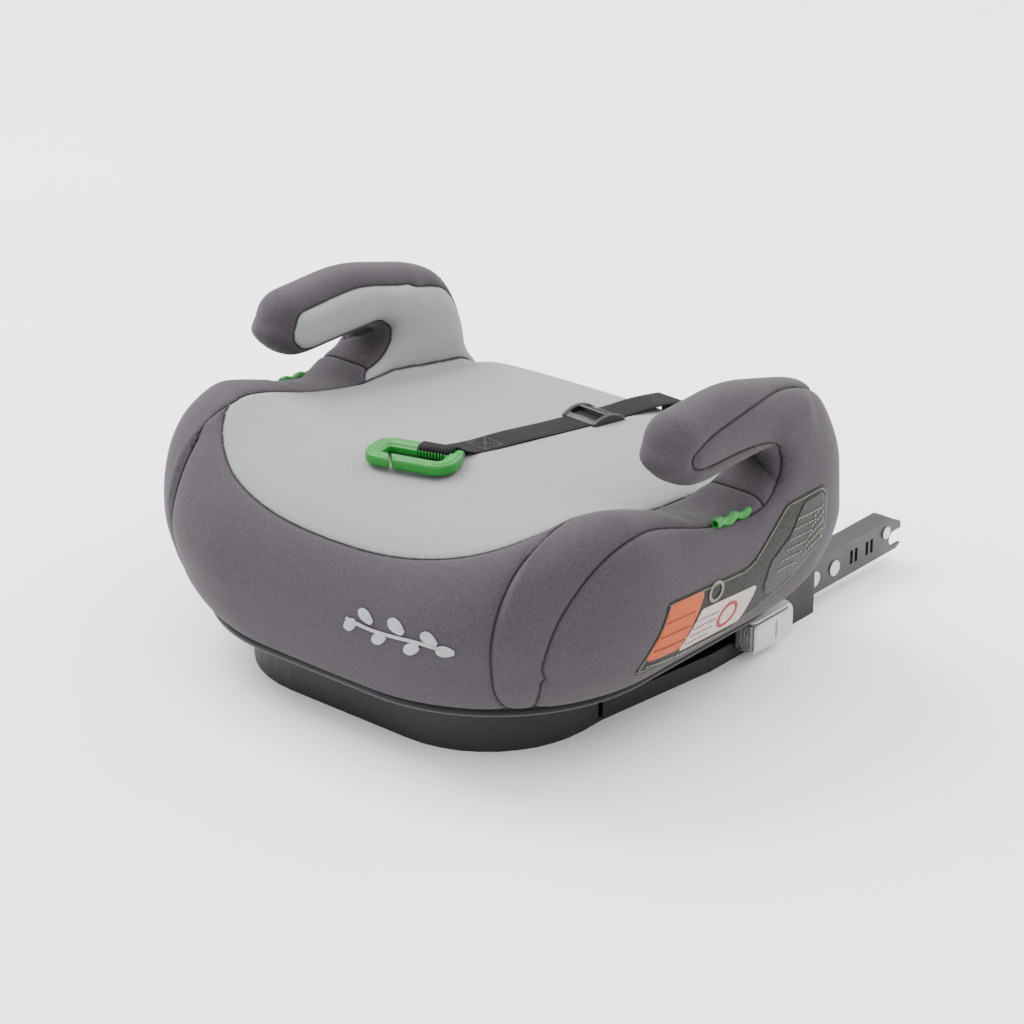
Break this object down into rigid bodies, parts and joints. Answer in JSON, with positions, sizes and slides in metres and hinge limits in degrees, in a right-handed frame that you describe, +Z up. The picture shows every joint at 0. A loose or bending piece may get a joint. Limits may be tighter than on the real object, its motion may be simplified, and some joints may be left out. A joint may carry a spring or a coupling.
{
  "type": "booster seat",
  "caption": "Child booster seat: padded fabric cover with armrests over a moulded base, belt strap with clip, and sliding anchor arms with press-release latches.",
  "frame": {"origin": "middle of the flat underside of the base, on the surface the seat stands on", "axes": "+Z up, +Y to the back of the seat (where the anchor arms point), +X to the left of a child sitting in it"},
  "size_m": [0.4249, 0.4971, 0.2387],
  "materials": {
    "black_base_plastic": "satin",
    "guide_plastic": "satin",
    "pad_rubber": "matte",
    "zinc_steel": "satin",
    "shell_plastic": "matte",
    "foam": "matte",
    "light_fabric": "matte",
    "inner_fabric": "matte",
    "dark_fabric": "matte",
    "hem_fabric": "matte",
    "green_plastic": "satin",
    "label_film": "satin",
    "silver_thread": "satin",
    "webbing": "matte",
    "slider_plastic": "satin",
    "coated_steel": "satin",
    "tube_steel": "satin",
    "grey_plastic": "satin",
    "button_plastic": "satin",
    "flag_green": "satin"
  },
  "bodies": {
    "seat": {"base_shell": "black_base_plastic", "base_floor_pads": "pad_rubber", "guide_channel_left": "guide_plastic", "guide_channel_right": "guide_plastic", "channel_screws": "zinc_steel", "shell_screws": "zinc_steel", "seat_shell": "shell_plastic", "seat_foam": "foam", "seat_panel": "light_fabric", "front_panel": "dark_fabric", "rear_panel": "dark_fabric", "side_band_left": "dark_fabric", "side_band_right": "dark_fabric", "side_panel_left": "dark_fabric", "side_panel_right": "dark_fabric", "armrest_band_left": "dark_fabric", "armrest_band_right": "dark_fabric", "armrest_inner_left": "inner_fabric", "armrest_inner_right": "inner_fabric", "hem_binding": "hem_fabric", "belt_guide_left": "green_plastic", "belt_guide_right": "green_plastic", "side_label": "label_film", "front_emblem": "silver_thread", "strap_anchor": "slider_plastic", "strap_anchor_screws": "zinc_steel", "belt_strap": "webbing"},
    "carriage": {"arm_left": "coated_steel", "arm_right": "coated_steel", "cross_tube": "tube_steel", "tube_screws": "zinc_steel", "arm_rivets_left": "zinc_steel", "arm_rivets_right": "zinc_steel", "hook_pin_left": "zinc_steel", "hook_pin_right": "zinc_steel", "handle_housing_left": "grey_plastic", "handle_housing_right": "grey_plastic", "housing_cap_left": "grey_plastic", "housing_cap_right": "grey_plastic", "button_spring_left": "zinc_steel", "button_spring_right": "zinc_steel", "hook_spring_left": "zinc_steel", "hook_spring_right": "zinc_steel"},
    "release_left": {"release_button_left": "button_plastic", "pull_rod_left": "zinc_steel", "status_flag_left": "flag_green"},
    "release_right": {"release_button_right": "button_plastic", "pull_rod_right": "zinc_steel", "status_flag_right": "flag_green"},
    "hook_left": {"latch_hook_left": "tube_steel"},
    "hook_right": {"latch_hook_right": "tube_steel"},
    "slider": {"strap_slider": "slider_plastic"},
    "clip": {"belt_clip": "green_plastic"}
  },
  "joints": [
    {"name": "carriage_slide", "type": "slide", "parent": "seat", "child": "carriage", "axis": [0, -1, 0], "range_m": [0, 0.1]},
    {"name": "release_left_press", "type": "slide", "parent": "carriage", "child": "release_left", "axis": [0, 1, 0], "range_m": [0, 0.0065], "stiffness_N_per_m": 600, "springref_m": -0.004, "deforming": ["button_spring_left"]},
    {"name": "release_right_press", "type": "slide", "parent": "carriage", "child": "release_right", "axis": [0, 1, 0], "range_m": [0, 0.0065], "stiffness_N_per_m": 600, "springref_m": -0.004, "deforming": ["button_spring_right"]},
    {"name": "hook_left_turn", "type": "hinge", "parent": "carriage", "child": "hook_left", "pos_m": [0.14, 0.23, 0.029], "axis": [1, 0, 0], "range_deg": [0, 45], "deforming": ["hook_spring_left"]},
    {"name": "hook_right_turn", "type": "hinge", "parent": "carriage", "child": "hook_right", "pos_m": [-0.14, 0.23, 0.029], "axis": [1, 0, 0], "range_deg": [0, 45], "deforming": ["hook_spring_right"]},
    {"name": "slider_slide", "type": "slide", "parent": "seat", "child": "slider", "axis": [0.0606, 0.9911, -0.1184], "range_m": [-0.006, 0.04]},
    {"name": "clip_swing", "type": "hinge", "parent": "seat", "child": "clip", "pos_m": [0.00016, -0.10755, 0.16506], "axis": [-0.9588, -0.284, 0], "range_deg": [0, 120]}
  ],
  "couplings": [
    {"joint": "hook_left_turn", "follows": "release_left_press", "rad_per_m": 120.83},
    {"joint": "hook_right_turn", "follows": "release_right_press", "rad_per_m": 120.83}
  ]
}
